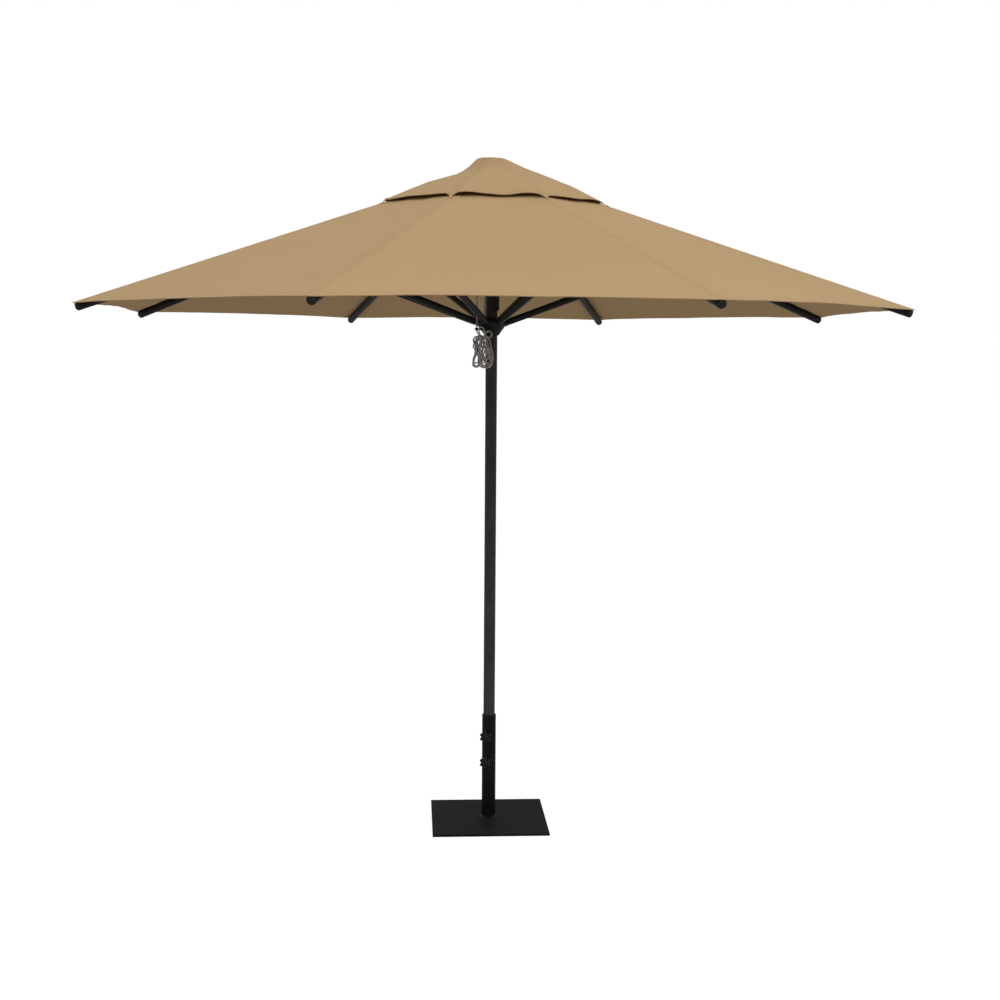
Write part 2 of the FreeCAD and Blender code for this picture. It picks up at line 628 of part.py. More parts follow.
# The rope's free end below the eye: the points of its route to the top of the hank.
TAIL_ROUTE = [
    Vector(-65.82, -61.38, 2148.74),
    Vector(-65.82, -61.38, 2138.0),
    Vector(-58.0, -61.0, 2128.0),
]
HANK_CENTRE = Vector(-39, -61, 2057)
HANK_SIZE = Vector(92, 40, 148)


def rounded_route(points, share=0.45):
    """Straight runs joined by tangent arcs, each as large as its two runs allow."""
    edges, at = [], points[0]
    for before, corner, after in zip(points, points[1:], points[2:]):
        to_before, to_after = (before - corner), (after - corner)
        reach = share * min(to_before.Length, to_after.Length)
        to_before.normalize()
        to_after.normalize()
        turn = math.pi - to_before.getAngle(to_after)
        radius = reach / math.tan(turn / 2)
        print(f"rope bend radius {radius:.1f} mm")
        start, end = corner + to_before * reach, corner + to_after * reach
        inward = to_before + to_after
        inward.normalize()
        middle = corner + inward * (radius / math.cos(turn / 2) - radius)
        edges.append(Part.LineSegment(at, start).toShape())
        edges.append(Part.Arc(start, middle, end).toShape())
        at = end
    edges.append(Part.LineSegment(at, points[-1]).toShape())
    return edges


def make_rope_end():
    route = [polar(size("sheaveCentre") + size("sheaveTrack"), RUNNER_Z - size("eyeDrop"))]
    route += TAIL_ROUTE[1:]
    tail = swept_tube("rope_tail_feature", rounded_route(route), size("ropeRadius"))
    subpart("rope_tail", tail)

    hank = doc.addObject("Part::Box", "hank_box")
    hank.Length, hank.Width, hank.Height = HANK_SIZE
    hank.Placement.Base = HANK_CENTRE - HANK_SIZE * 0.5
    doc.recompute()
    rounded = doc.addObject("Part::Fillet", "hank_rounded")
    rounded.Base = hank
    rounded.Edges = [(n, 17.0, 17.0) for n in range(1, 13)]
    bite = swept_tube("rope_tail_bite", rounded_route(route), size("ropeRadius") + 0.05)
    subpart("rope_hank", cut("hank_cut", rounded, bite))


# ---------------------------------------------------------------- assembly
make_base_plate()
make_socket()
make_nuts()
make_knob("knob_upper", "knobHigh")
make_knob("knob_lower", "knobLow")
make_pole()
make_top_hub()
make_crown_cap()
make_pulley()
make_runner()
make_stop()
for number in range(RIB_COUNT):
    make_rib(number)
    make_rib_brackets(number)
    make_strut(number)
    make_canopy(number)
make_rope_fall()
make_rope_end()
doc.recompute()

for obj in doc.Objects:
    if "Invalid" in obj.State or "Error" in obj.State:
        raise RuntimeError(f"{obj.Name} failed: {obj.State}")
for label, obj in subparts.items():
    shape = obj.Shape
    if shape.isNull() or not shape.isValid() or not shape.Solids:
        raise RuntimeError(f"{label}: bad shape")

os.makedirs("parts", exist_ok=True)
for label, obj in subparts.items():
    obj.Shape.exportStep(f"parts/{label}.step")
print(len(subparts), "sub-parts written")
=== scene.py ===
"""Looks of the patio umbrella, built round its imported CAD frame. Metres, +Z up, -Y to the front."""

import json
import math

import bpy
import numpy as np
from mathutils import Matrix, Vector, noise


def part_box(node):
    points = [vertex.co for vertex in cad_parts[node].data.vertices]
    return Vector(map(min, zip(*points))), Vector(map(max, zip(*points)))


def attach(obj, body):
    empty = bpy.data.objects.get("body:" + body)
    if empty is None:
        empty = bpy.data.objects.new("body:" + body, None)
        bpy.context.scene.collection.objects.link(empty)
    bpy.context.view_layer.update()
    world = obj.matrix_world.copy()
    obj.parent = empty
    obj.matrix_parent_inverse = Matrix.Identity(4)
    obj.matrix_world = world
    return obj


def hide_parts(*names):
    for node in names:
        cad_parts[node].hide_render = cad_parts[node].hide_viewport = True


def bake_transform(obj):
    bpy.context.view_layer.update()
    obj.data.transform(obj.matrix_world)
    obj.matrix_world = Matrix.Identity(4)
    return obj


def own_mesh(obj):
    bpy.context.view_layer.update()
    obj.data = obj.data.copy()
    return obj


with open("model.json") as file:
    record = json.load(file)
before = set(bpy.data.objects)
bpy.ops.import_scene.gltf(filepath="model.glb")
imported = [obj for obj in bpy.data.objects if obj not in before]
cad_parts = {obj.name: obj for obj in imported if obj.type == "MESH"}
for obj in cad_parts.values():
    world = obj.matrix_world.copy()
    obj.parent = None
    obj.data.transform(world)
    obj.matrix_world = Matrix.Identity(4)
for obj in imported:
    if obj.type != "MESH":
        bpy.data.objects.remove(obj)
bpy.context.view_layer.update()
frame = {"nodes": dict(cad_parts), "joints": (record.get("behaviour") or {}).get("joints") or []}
JOINTS = {j["name"]: j for j in frame["joints"]}
RIBS = range(1, 9)
STEP = math.radians(45)
HALF = STEP / 2


# ---------------------------------------------------------------- sizes, read from the frame
def pivot(joint):
    return Vector(JOINTS[joint]["pos_m"])


HUB = pivot("rib_1_fold")
PIVOT_R, HUB_Z = math.hypot(HUB.x, HUB.y), HUB.z
ELBOW = pivot("strut_1_turn")
SLOPE = math.atan2(HUB_Z - ELBOW.z, math.hypot(ELBOW.x, ELBOW.y) - PIVOT_R)
LIFT = 0.0536  # from a rib's pivots to the underside of the fabric on it
FABRIC = 0.0016  # thickness of the canopy cloth
OPENING, RIM = 0.26, 1.75  # the main canopy's inner and outer circumradius
VENT_RIM = 0.490
CROWN_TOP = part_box("crown_cap")[1].z


def azimuth(rib):
    return HALF + STEP * (rib - 1)


def ridge_z(radius):
    """Height of the main canopy's cloth over a rib, at a distance from the pole's axis."""
    top = HUB_Z + LIFT / math.cos(SLOPE) + PIVOT_R * math.tan(SLOPE) + FABRIC / 2 + 0.0002
    return top - radius * math.tan(SLOPE)


# ---------------------------------------------------------------- shader helpers
class Nodes:
    """A material under construction. Values are numbers, colours, or outputs of other nodes."""

    def __init__(self, name):
        self.material = bpy.data.materials.new(name)
        self.material.use_nodes = True
        self.tree = self.material.node_tree
        self.shader = next(n for n in self.tree.nodes if n.type == "BSDF_PRINCIPLED")

    def node(self, kind, settings=None, **inputs):
        made = self.tree.nodes.new("ShaderNode" + kind)
        for key, value in (settings or {}).items():
            setattr(made, key, value)
        for key, value in inputs.items():
            self.put(made.inputs[key.replace("_", " ")], value)
        return made

    def put(self, socket, value):
        if isinstance(value, bpy.types.NodeSocket):
            self.tree.links.new(value, socket)
        elif value is not None:
            if socket.type == "RGBA" and len(value) == 3:
                value = (*value, 1)
            socket.default_value = value

    def math(self, operation, a, b=0.0, c=0.0, clamp=False):
        made = self.node("Math", {"operation": operation, "use_clamp": clamp})
        for socket, value in zip(made.inputs, (a, b, c)):
            self.put(socket, value)
        return made.outputs[0]

    def mix(self, factor, a, b):
        made = self.node("Mix", {"data_type": "RGBA"})
        self.put(made.inputs[0], factor)
        self.put(made.inputs[6], a)
        self.put(made.inputs[7], b)
        return made.outputs[2]

    def ramp(self, value, low, high, start=0.0, end=1.0):
        made = self.node("MapRange", {"interpolation_type": "SMOOTHSTEP"})
        for socket, number in zip(made.inputs, (value, start, end, low, high)):
            self.put(socket, number)
        return made.outputs[0]

    def noise(self, vector, scale, detail=2.0, rough=0.5):
        made = self.node("TexNoise", Vector=vector, Scale=scale, Detail=detail, Roughness=rough)
        return made.outputs[0]

    def place(self, scale=(1, 1, 1)):
        """Object coordinates, stretched."""
        where = self.node("TexCoord").outputs["Object"]
        return self.node("Mapping", Vector=where, Scale=scale).outputs[0]

    def bump(self, height, distance, strength=1.0):
        made = self.node("Bump", Height=height, Distance=distance, Strength=strength)
        self.tree.links.new(made.outputs[0], self.shader.inputs["Normal"])

    def set(self, **values):
        for key, value in values.items():
            self.put(self.shader.inputs[key.replace("_", " ")], value)
        return self.material


def powder_coat(name, colour, rough, specular, grain=900):
    """Satin powder coat over metal: fine orange peel, faint dust, a little wear."""
    n = Nodes(name)
    where = n.place()
    broad, fine = n.noise(where, 9, 3), n.noise(where, grain, 1)
    dust = n.noise(where, 55, 4, 0.7)
    dark, light = [c * 0.82 for c in colour], [c * 1.2 + 0.0015 for c in colour]
    tone = n.mix(n.ramp(broad, 0, 1, 0.3, 0.7), dark, light)
    tone = n.mix(n.ramp(dust, 0, 0.16, 0.55, 0.8), tone, [c * 1.9 + 0.006 for c in colour])
    shine = n.math("ADD", n.ramp(broad, rough - 0.04, rough + 0.05, 0.3, 0.7),
                   n.ramp(dust, 0, 0.06, 0.5, 0.8))
    n.bump(n.math("ADD", fine, n.math("MULTIPLY", dust, 0.6)), 0.00012, 0.55)
    n.set(Base_Color=tone, Roughness=shine, Specular_IOR_Level=specular)
    return n.material


def moulded_plastic(name, colour, rough=0.5, specular=0.3):
    """Injection-moulded nylon with a spark-eroded grain."""
    n = Nodes(name)
    where = n.place()
    grain, broad = n.noise(where, 1400, 2, 0.6), n.noise(where, 30, 3)
    tone = n.mix(n.ramp(broad, 0, 1, 0.3, 0.7), [c * 0.8 for c in colour],
                 [c * 1.25 + 0.001 for c in colour])
    n.bump(grain, 0.00015, 0.5)
    n.set(Base_Color=tone, Roughness=n.ramp(broad, rough - 0.05, rough + 0.08, 0.3, 0.7),
          Specular_IOR_Level=specular)
    return n.material


def plated_steel(name):
    n = Nodes(name)
    where = n.place()
    brushed = n.noise(n.place((400, 400, 30)), 5, 2)
    blotch = n.noise(where, 120, 4, 0.7)
    tone = n.mix(n.ramp(blotch, 0, 1, 0.35, 0.7), (0.46, 0.46, 0.47), (0.62, 0.62, 0.60))
    n.bump(brushed, 0.00005, 0.4)
    n.set(Base_Color=tone, Metallic=1.0, Roughness=n.ramp(blotch, 0.28, 0.45, 0.3, 0.7))
    return n.material


def canopy_cloth(name, face, shade, hem=0.03, seams=True):
    """Woven acrylic. The UV map is in metres: u from the nearest seam, v in from the hem."""
    n = Nodes(name)
    uv = n.node("UVMap", {"uv_map": "Cloth"}).outputs[0]
    split = n.node("SeparateXYZ", Vector=uv)
    across, inward = split.outputs[0], split.outputs[1]
    reach = n.math("ABSOLUTE", across)

    def thread(value, pitch):
        return n.math("SINE", n.math("MULTIPLY", value, 2 * math.pi / pitch))

    warp, weft = thread(across, 0.0011), thread(inward, 0.0011)
    weave = n.math("MULTIPLY", warp, weft)
    slub = n.noise(n.node("Mapping", Vector=uv, Scale=(900, 60, 1)).outputs[0], 1, 2)
    slub2 = n.noise(n.node("Mapping", Vector=uv, Scale=(60, 900, 1)).outputs[0], 1, 2)
    cloud = n.noise(n.place(), 2.2, 3)
    tone = n.mix(n.ramp(cloud, 0, 1, 0.3, 0.7), shade, face)
    yarn = n.math("ADD", n.math("MULTIPLY", weave, 0.25), n.math("ADD", slub, slub2))
    tone = n.mix(n.ramp(yarn, 0.0, 0.22, 0.7, 1.35), tone, [min(1, c * 1.22 + 0.02) for c in face])

    def stitches(value, at):
        """A row of lock stitches along a line, as height, and as a mask."""
        near = n.ramp(n.math("ABSOLUTE", n.math("SUBTRACT", value, at)), 1, 0, 0.0004, 0.0012)
        other = inward if value is reach else across
        beat = n.ramp(thread(other, 0.0035), 0, 1, -0.5, 0.2)
        return n.math("MULTIPLY", near, beat)

    row = stitches(inward, hem - 0.002)
    row = n.math("MAXIMUM", row, stitches(inward, hem - 0.006))
    step = n.ramp(inward, 1, 0, hem - 0.0005, hem + 0.0008)
    # Painted shade: darker along the hem's edge and in a groove beside each seam.
    edge_shade = n.ramp(inward, 0.35, 0, 0.0, 0.003)
    if seams:
        row = n.math("MAXIMUM", row, stitches(reach, 0.004))
        row = n.math("MAXIMUM", row, stitches(reach, 0.011))
        step = n.math("MAXIMUM", step, n.ramp(reach, 1, 0, 0.0125, 0.014))
        gutter_shade = n.ramp(n.math("ABSOLUTE", n.math("SUBTRACT", reach, 0.0135)), 1, 0, 0.0, 0.0016)
        edge_shade = n.math("MAXIMUM", edge_shade, n.math("MULTIPLY", gutter_shade, 0.5))
    tone = n.mix(n.math("MULTIPLY", row, 0.45), tone, [c * 0.74 for c in shade])
    # Painted shade: the hem's edge and the seams' grooves darken towards 0.6 of the shade colour.
    tone = n.mix(n.math("MULTIPLY", edge_shade, 0.7), tone, [c * 0.6 for c in shade])
    relief = n.math("ADD", n.math("MULTIPLY", weave, 0.10), n.math("MULTIPLY", step, 1.0))
    relief = n.math("SUBTRACT", relief, n.math("MULTIPLY", row, 0.8))
    relief = n.math("ADD", relief, n.math("MULTIPLY", n.math("ADD", slub, slub2), 0.12))
    n.bump(relief, 0.0007, 0.75)
    n.set(Base_Color=tone, Roughness=n.ramp(cloud, 0.82, 0.92, 0.3, 0.7),
          Specular_IOR_Level=0.08, Sheen_Weight=0.03, Sheen_Roughness=0.5)
    return n.material


def braided_cord(name, colour, upright=False):
    """A braided polyester cord. The UV map is u along it in metres, and v round it in turns. The
    upright falls have none, so theirs follows the place in space."""
    n = Nodes(name)
    if upright:
        split = n.node("SeparateXYZ", Vector=n.place())
        along, turn = split.outputs[2], n.math("MULTIPLY", split.outputs[0], 60.0)
    else:
        split = n.node("SeparateXYZ", Vector=n.node("UVMap", {"uv_map": "Cord"}).outputs[0])
        along, turn = split.outputs[0], split.outputs[1]

    def helix(sign):
        phase = n.math("ADD", n.math("MULTIPLY", along, 2 * math.pi / 0.0075),
                       n.math("MULTIPLY", turn, sign * 2 * math.pi * 4))
        return n.math("SINE", phase)

    left, right = helix(1), helix(-1)
    weave = n.math("MAXIMUM", left, right)
    fleck = n.noise(n.place(), 700, 2)
    # Painted shade: the grooves between the braid's strands darken to 0.42 of the colour.
    tone = n.mix(n.ramp(weave, 0, 1, -0.4, 0.9), [c * 0.42 for c in colour], colour)
    tone = n.mix(n.ramp(fleck, 0, 0.5, 0.45, 0.75), tone, [min(1, c * 1.9) for c in colour])
    n.bump(weave, 0.0005, 0.8)
    n.set(Base_Color=tone, Roughness=n.ramp(fleck, 0.45, 0.65, 0.3, 0.7), Specular_IOR_Level=0.45)
    return n.material


POLE = powder_coat("pole_coat", (0.040, 0.040, 0.0405), 0.45, 0.22)
FRAME = powder_coat("frame_coat", (0.0065, 0.0065, 0.0074), 0.40, 0.22)
PLATE = powder_coat("plate_coat", (0.0125, 0.0125, 0.0127), 0.66, 0.05, 700)
SOCKET = powder_coat("socket_coat", (0.0045, 0.0045, 0.0048), 0.40, 0.14)
PLASTIC = moulded_plastic("black_nylon", (0.010, 0.010, 0.0104), 0.5, 0.25)
STEEL = plated_steel("zinc_plate")
CLOTH = canopy_cloth("canopy_cloth", (0.468, 0.316, 0.158), (0.448, 0.301, 0.150))
VENT_CLOTH = canopy_cloth("vent_cloth", (0.462, 0.312, 0.156), (0.435, 0.293, 0.146), hem=0.018)
PLAIN_CLOTH = canopy_cloth("tab_cloth", (0.49, 0.335, 0.172), (0.46, 0.312, 0.158), 0.004, seams=False)
CORD = braided_cord("grey_braid", (0.52, 0.52, 0.53))
# Painted shade: the upright falls are the same grey rope as the hank, given a darker colour for the
# shade on them.
SHADED_FALLS = braided_cord("grey_braid_upright_shaded", (0.36, 0.36, 0.365), upright=True)


def paint(node, material):
    """Gives a CAD node its material."""
    for slot in frame["nodes"][node].material_slots:
        slot.link = "OBJECT"
        slot.material = material


for node_name in frame["nodes"]:
    kind = node_name.rstrip("0123456789").rstrip("_")
    paint(node_name, {
        "base_plate": PLATE, "base_socket": SOCKET, "socket_nuts": SOCKET, "pole": POLE,
        "rib": FRAME, "rib_brackets": FRAME, "strut": FRAME, "pulley_yoke": FRAME,
        "hub_pins": STEEL, "runner_pins": STEEL, "canopy_sector": CLOTH,
        "rope_fall": SHADED_FALLS, "rope_tail": CORD, "rope_hank": CORD,
    }.get(kind, PLASTIC))


# ---------------------------------------------------------------- meshes
def make_mesh(name, points, faces, material):
    mesh = bpy.data.meshes.new(name)
    mesh.from_pydata([tuple(p) for p in points], [], faces)
    mesh.validate()
    for polygon in mesh.polygons:
        polygon.use_smooth = True
    mesh.materials.append(material)
    o = bpy.data.objects.new(name, mesh)
    bpy.context.scene.collection.objects.link(o)
    return o


def radial(r, t, rib, z):
    """A point r out along a rib's azimuth and t to its left."""
    a = azimuth(rib)
    return Vector((r * math.cos(a) - t * math.sin(a), r * math.sin(a) + t * math.cos(a), z))


# ---------------------------------------------------------------- cloth
COLUMNS, BAND = 20, 3  # columns in each panel between two ribs, and in the band beside a rib
BAND_WIDTH = 0.03


def across(column, rho):
    """How far along its panel's chord a column is, 0 to 1. The band's columns run parallel to
    the rib, and the others fan out."""
    near, half = min(column, COLUMNS - column), COLUMNS // 2
    middle = rho * math.sin(STEP) / 2
    band = min(BAND_WIDTH, 0.45 * middle)
    if near <= BAND:
        reach = band * (0, 0.33, 0.73, 1)[near]
    else:
        reach = band + (middle - band) * (near - BAND) / (half - BAND)
    share = reach / (2 * middle)
    return share if column <= half else 1 - share


def panel_point(panel, s, rho):
    """A point of a panel's plan: s from one rib to the next, rho the circumradius."""
    a, b = azimuth(panel), azimuth(panel + 1)
    return np.array([
        rho * ((1 - s) * math.cos(a) + s * math.cos(b)),
        rho * ((1 - s) * math.sin(a) + s * math.sin(b)),
    ])


def cloth_grid(rows, height, rim_dip):
    """An array of points [row, column, xyz] over the eight panels. rows are circumradii, and
    height(rho, panel, s) is the cloth's height. The last row's edge is cut in by rim_dip."""
    grid = np.zeros((len(rows), 8 * COLUMNS, 3))
    inner, outer = rows[0], rows[-1]
    for panel in RIBS:
        for c in range(COLUMNS):
            for i, rho in enumerate(rows):
                s = across(c, rho)
                cut = rim_dip * 4 * s * (1 - s)
                share = (rho - inner) / (outer - inner)
                here = inner + (outer - cut - inner) * share
                x, y = panel_point(panel, s, here)
                grid[i, (panel - 1) * COLUMNS + c] = x, y, height(here, panel, s)
    return grid


def settle(grid, name, pinned_rows, frames, caps, mass, tension):
    """Blender's cloth lets the panels sag between the ribs; how far a point moves is capped."""
    count, width = grid.shape[0], grid.shape[1]
    faces = [
        (i * width + j, (i + 1) * width + j, (i + 1) * width + (j + 1) % width,
         i * width + (j + 1) % width)
        for i in range(count - 1) for j in range(width)
    ]
    o = make_mesh(name, grid.reshape(-1, 3), faces, CLOTH)
    group = o.vertex_groups.new(name="pin")
    for i in range(count):
        for j in range(width):
            if j % COLUMNS == 0 or i in pinned_rows:
                group.add([i * width + j], 1.0, "REPLACE")
    cloth = o.modifiers.new("cloth", "CLOTH")
    s = cloth.settings
    s.quality, s.mass, s.air_damping = 7, mass, 6
    s.tension_stiffness = s.compression_stiffness = tension
    s.shear_stiffness, s.bending_stiffness = tension * 0.6, 0.2
    s.vertex_group_mass = "pin"
    cloth.point_cache.frame_start, cloth.point_cache.frame_end = 1, frames
    cloth.collision_settings.use_collision = False
    for f in range(1, frames + 1):
        bpy.context.scene.frame_set(f)
    made = o.evaluated_get(bpy.context.evaluated_depsgraph_get()).to_mesh()
    moved = np.zeros(len(made.vertices) * 3)
    made.vertices.foreach_get("co", moved)
    o.to_mesh_clear()
    bpy.context.scene.frame_set(1)
    bpy.data.objects.remove(o)
    step = moved.reshape(grid.shape) - grid
    size = np.linalg.norm(step, axis=2, keepdims=True)
    cap = np.asarray(caps)[:, None, None]
    step *= cap * np.tanh(size / cap) / np.maximum(size, 1e-9)
    return grid + step


def grid_normals(grid):
    down = np.gradient(grid, axis=0)
    ring = np.roll(grid, -1, axis=1) - np.roll(grid, 1, axis=1)
    normal = np.cross(down, ring)
    normal /= np.linalg.norm(normal, axis=2, keepdims=True)
    if normal[..., 2].mean() < 0:
        normal = -normal
    return normal


def rib_strip(name, grid, normals, rib, rows, span, thickness, material, hem=0.0):
    """A part of the cloth on one rib, as a thin closed sheet: the rows from first to last, and
    the columns of the span, counted from the rib's own."""
    (first, last), width = rows, grid.shape[1]
    columns = [((rib - 1) * COLUMNS + d) % width for d in range(span[0], span[1] + 1)]
    rows = range(first, last + 1)
    wide, tall = len(columns), len(rows)
    mid = np.array([[grid[i, j] for j in columns] for i in rows])
    out = np.array([[normals[i, j] for j in columns] for i in rows])
    thick = np.full((tall, wide, 1), thickness)
    if hem:
        thick[-2:] += hem
    top, low = mid + out * thickness / 2, mid + out * (thickness / 2 - thick)
    points = np.concatenate([top.reshape(-1, 3), low.reshape(-1, 3)])
    under = wide * tall

    def at(i, j, side=0):
        return side * under + i * wide + j

    faces, sides = [], []
    for i in range(tall - 1):
        for j in range(wide - 1):
            faces.append((at(i, j), at(i + 1, j), at(i + 1, j + 1), at(i, j + 1)))
            faces.append((at(i, j + 1, 1), at(i + 1, j + 1, 1), at(i + 1, j, 1), at(i, j, 1)))
    rim = [(i, 0) for i in range(tall)] + [(tall - 1, j) for j in range(1, wide)]
    rim += [(i, wide - 1) for i in range(tall - 2, -1, -1)] + [(0, j) for j in range(wide - 2, 0, -1)]
    for (a, b), (c, d) in zip(rim, rim[1:] + rim[:1]):
        sides.append((at(a, b), at(a, b, 1), at(c, d, 1), at(c, d)))
    o = make_mesh(name, points, faces + sides, material)
    mesh = o.data
    flat = out.reshape(-1, 3)
    loop_normals = []
    for polygon in mesh.polygons:
        for corner in polygon.vertices:
            if polygon.index >= len(faces):
                loop_normals.append(polygon.normal[:])
            else:
                loop_normals.append(tuple(flat[corner] if corner < under else -flat[corner - under]))
    # The rib's own line is the sheet's seam, and the last row is its hem.
    axis = np.array([math.cos(azimuth(rib)), math.sin(azimuth(rib)), 0])
    side = np.array([-axis[1], axis[0], 0])
    steps = np.linalg.norm(np.diff(mid, axis=0), axis=2)
    inward = np.concatenate([np.cumsum(steps[::-1], axis=0)[::-1], np.zeros((1, wide))])
    rest = inward + (np.linalg.norm(np.diff(grid[last:, columns], axis=0), axis=2).sum(0)
                     if last < grid.shape[0] - 1 else 0)
    lateral = mid @ side
    layer = mesh.uv_layers.new(name="Cloth")
    for loop in mesh.loops:
        v = loop.vertex_index % under
        i, j = divmod(v, wide)
        layer.data[loop.index].uv = (lateral[i, j], rest[i, j])
    mesh.normals_split_custom_set(loop_normals)
    broad = float(lateral.max() - lateral.min())
    along = float(inward.max())
    a, b = np.diff(mid, axis=0)[:, :-1], np.diff(mid, axis=1)[:-1]
    area = float(np.linalg.norm(np.cross(a, b), axis=2).sum())
    o["flat"] = [broad, along]
    o["area"] = min(area, broad * along)
    return o


def ripple(point, scale, seed=0.0):
    return noise.noise(Vector(point) * scale + Vector((seed, 7.3 * seed, -seed)))


def main_height(rho, panel, s):
    return ridge_z(rho)


MAIN_ROWS = list(np.linspace(OPENING, 0.5, 7)) + list(np.linspace(0.5, 0.95, 10))[1:]
MAIN_ROWS += list(np.linspace(0.95, 1.70, 17))[1:] + [1.715, 1.732, 1.747, RIM]

SAG = [0.001 + 0.010 * math.sin(math.pi * (r - OPENING) / (RIM - OPENING)) for r in MAIN_ROWS]
main = settle(cloth_grid(MAIN_ROWS, main_height, 0.023), "main_cloth", {0}, 24, SAG, 0.02, 30)
for i in range(1, len(MAIN_ROWS)):
    for j in range(main.shape[1]):
        if j % COLUMNS:
            x, y, z = main[i, j]
            s = across(j % COLUMNS, MAIN_ROWS[i])
            calm = min(1, 9 * s * (1 - s))
            turn = math.atan2(y, x)
            wave = ripple((turn * 5, math.hypot(x, y) * 1.3, 0), 1.0, 3.1) * 0.0035
            wave += ripple((turn * 16, math.hypot(x, y) * 2.0, 0), 1.0, 9.4) * 0.0012
            main[i, j, 2] += wave * calm
main_normals = grid_normals(main)


# ---------------------------------------------------------------- vent cap
def between(points, r):
    """The value at a radius, straight between (radius, value) pairs."""
    for (r0, v0), (r1, v1) in zip(points, points[1:]):
        if r <= r1:
            return v0 + (v1 - v0) * max(0.0, (r - r0) / (r1 - r0))
    return points[-1][1]


CROWN_Z = CROWN_TOP + 0.0035
HEM_STAND = 0.012  # how far the side profiles' ends stand off the canopy
CLEAR = 0.0028  # least distance of the vent cap from the canopy's cloth
LEFT_SIDE = [(0.0, CROWN_Z), (0.052, CROWN_Z - 0.0005), (0.069, CROWN_Z - 0.0045),
             (0.10, CROWN_Z - 0.033), (0.150, CROWN_Z - 0.070), (0.30, CROWN_Z - 0.115),
             (VENT_RIM, ridge_z(VENT_RIM) + HEM_STAND)]
RIGHT_SIDE = [(0.0, CROWN_Z), (0.030, CROWN_Z - 0.0005), (0.056, CROWN_Z - 0.0045),
              (0.066, CROWN_Z - 0.0085),
              (0.130, CROWN_Z - 0.039), (0.217, CROWN_Z - 0.073), (0.342, CROWN_Z - 0.123),
             (0.40, CROWN_Z - 0.150),
              (VENT_RIM, ridge_z(VENT_RIM) + HEM_STAND)]
# How far the hem stands off the canopy along each panel, in millimetres, from rib to rib.
HEM_LIFT = {
    6: [0, 15, 17, 14, 10.5, 7.5, 4.5, 3.5, 8, 13, 15, 12, 0],
    5: [6, 6, 8, 10, 12, 12, 11, 11, 11, 11, 11.5, 11, 0],
    7: [0, 7, 8, 8, 8, 7.5, 7, 7, 9, 12, 13, 11, 5],
    8: [0, 9, 12, 10, 7, 5, 4, 6, 9, 12, 13, 9, 0],
    4: [0, 8, 11, 11, 8, 5, 4, 5, 7, 11, 12, 8, 0],
    1: [0, 8, 13, 12, 8, 5, 3, 4, 8, 13, 13, 9, 0],
    2: [0, 7, 10, 11, 9, 7, 5, 5, 8, 11, 12, 8, 0],
    3: [0, 9, 12, 12, 9, 5, 3, 3, 6, 10, 13, 9, 0],
}


def hem_lift(panel, s):
    marks = HEM_LIFT[panel]
    at = s * (len(marks) - 1)
    low = min(int(at), len(marks) - 2)
    t = at - low
    t = t * t * (3 - 2 * t)
    return 0.001 * (marks[low] * (1 - t) + marks[low + 1] * t)


def vent_height(rho, panel, s):
    x, y = panel_point(panel, s, rho)
    turn = math.atan2(y, x)
    left = 0.5 + 0.5 * math.cos(turn - math.radians(185))
    left = left * left * (3 - 2 * left)
    z = between(LEFT_SIDE, rho) * left + between(RIGHT_SIDE, rho) * (1 - left)
    near_hem = max(0.0, (rho - 0.30) / (VENT_RIM - 0.30)) ** 2
    target = ridge_z(VENT_RIM) + 0.0035 + hem_lift(panel, s)
    z += (target - (ridge_z(VENT_RIM) + HEM_STAND)) * near_hem
    return max(z, ridge_z(rho) + CLEAR)


VENT_ROWS = [0.055, 0.064, 0.075, 0.09, 0.11, 0.135, 0.165, 0.2, 0.23, 0.26, 0.295, 0.33, 0.36,
             0.39, 0.415, 0.437, 0.455, 0.468, 0.479, VENT_RIM]
vent = cloth_grid(VENT_ROWS, vent_height, 0.006)
for i, rho in enumerate(VENT_ROWS):
    for j in range(vent.shape[1]):
        x, y, z = vent[i, j]
        turn = math.atan2(y, x)
        s = across(j % COLUMNS, rho)
        calm = min(1, 0.25 + 8 * s * (1 - s))
        pleats = math.sin(turn * 26 + 2 * ripple((turn, 0, 0), 3, 2.0))
        pleats *= 0.0022 * math.exp(-((rho - 0.085) / 0.035) ** 2)
        broad = ripple((turn * 4, rho * 9, 0), 1.0, 5.0) * 0.006 * min(1, rho / 0.2)
        broad *= calm * max(0.0, 1 - (rho / VENT_RIM) ** 6)
        vent[i, j, 2] = max(z + pleats * calm + broad, ridge_z(rho) + CLEAR)
vent_normals = grid_normals(vent)


def strips(label, grid, normals, side_cuts, top, material, hem):
    """Each rib's share of a sheet: a band over the rib, and what hangs from it on each side, all
    carried by the rib. side_cuts lists the side pieces, each as (first row, last row, share of
    the width left when folded); a piece with a share gets a mesh of its own. The rows above top
    are crown pieces, which stay in place."""
    last_row, half = grid.shape[0] - 1, COLUMNS // 2
    for rib in RIBS:
        parts = [("band", (top, last_row), (-BAND, BAND), None)]
        for number, (first, last, keep) in enumerate(side_cuts):
            parts.append(("ab"[number] + "l", (first, last), (BAND, half), keep))
            parts.append(("ab"[number] + "r", (first, last), (-half, -BAND), keep))
        if top:
            parts.append(("crown", (0, top), (-half, half), None))
        for part, rows, span, keep in parts:
            o = rib_strip(f"{label}_{part}_{rib}", grid, normals, rib, rows, span, FABRIC,
                          material, hem if rows[1] == last_row else 0.0)
            if part == "crown":
                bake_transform(o)
            else:
                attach(o, f"rib_{rib}")
            if keep:
                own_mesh(o)
            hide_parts(f"canopy_sector_{rib}")


last = len(MAIN_ROWS) - 1
strips("canopy", main, main_normals, [(0, 5, 0.2), (5, last, 0.095)], 0, CLOTH, 0.0012)
last = len(VENT_ROWS) - 1
strips("vent", vent, vent_normals, [(6, 10, 0.7), (10, last, 0.3)], 6, VENT_CLOTH, 0.0008)

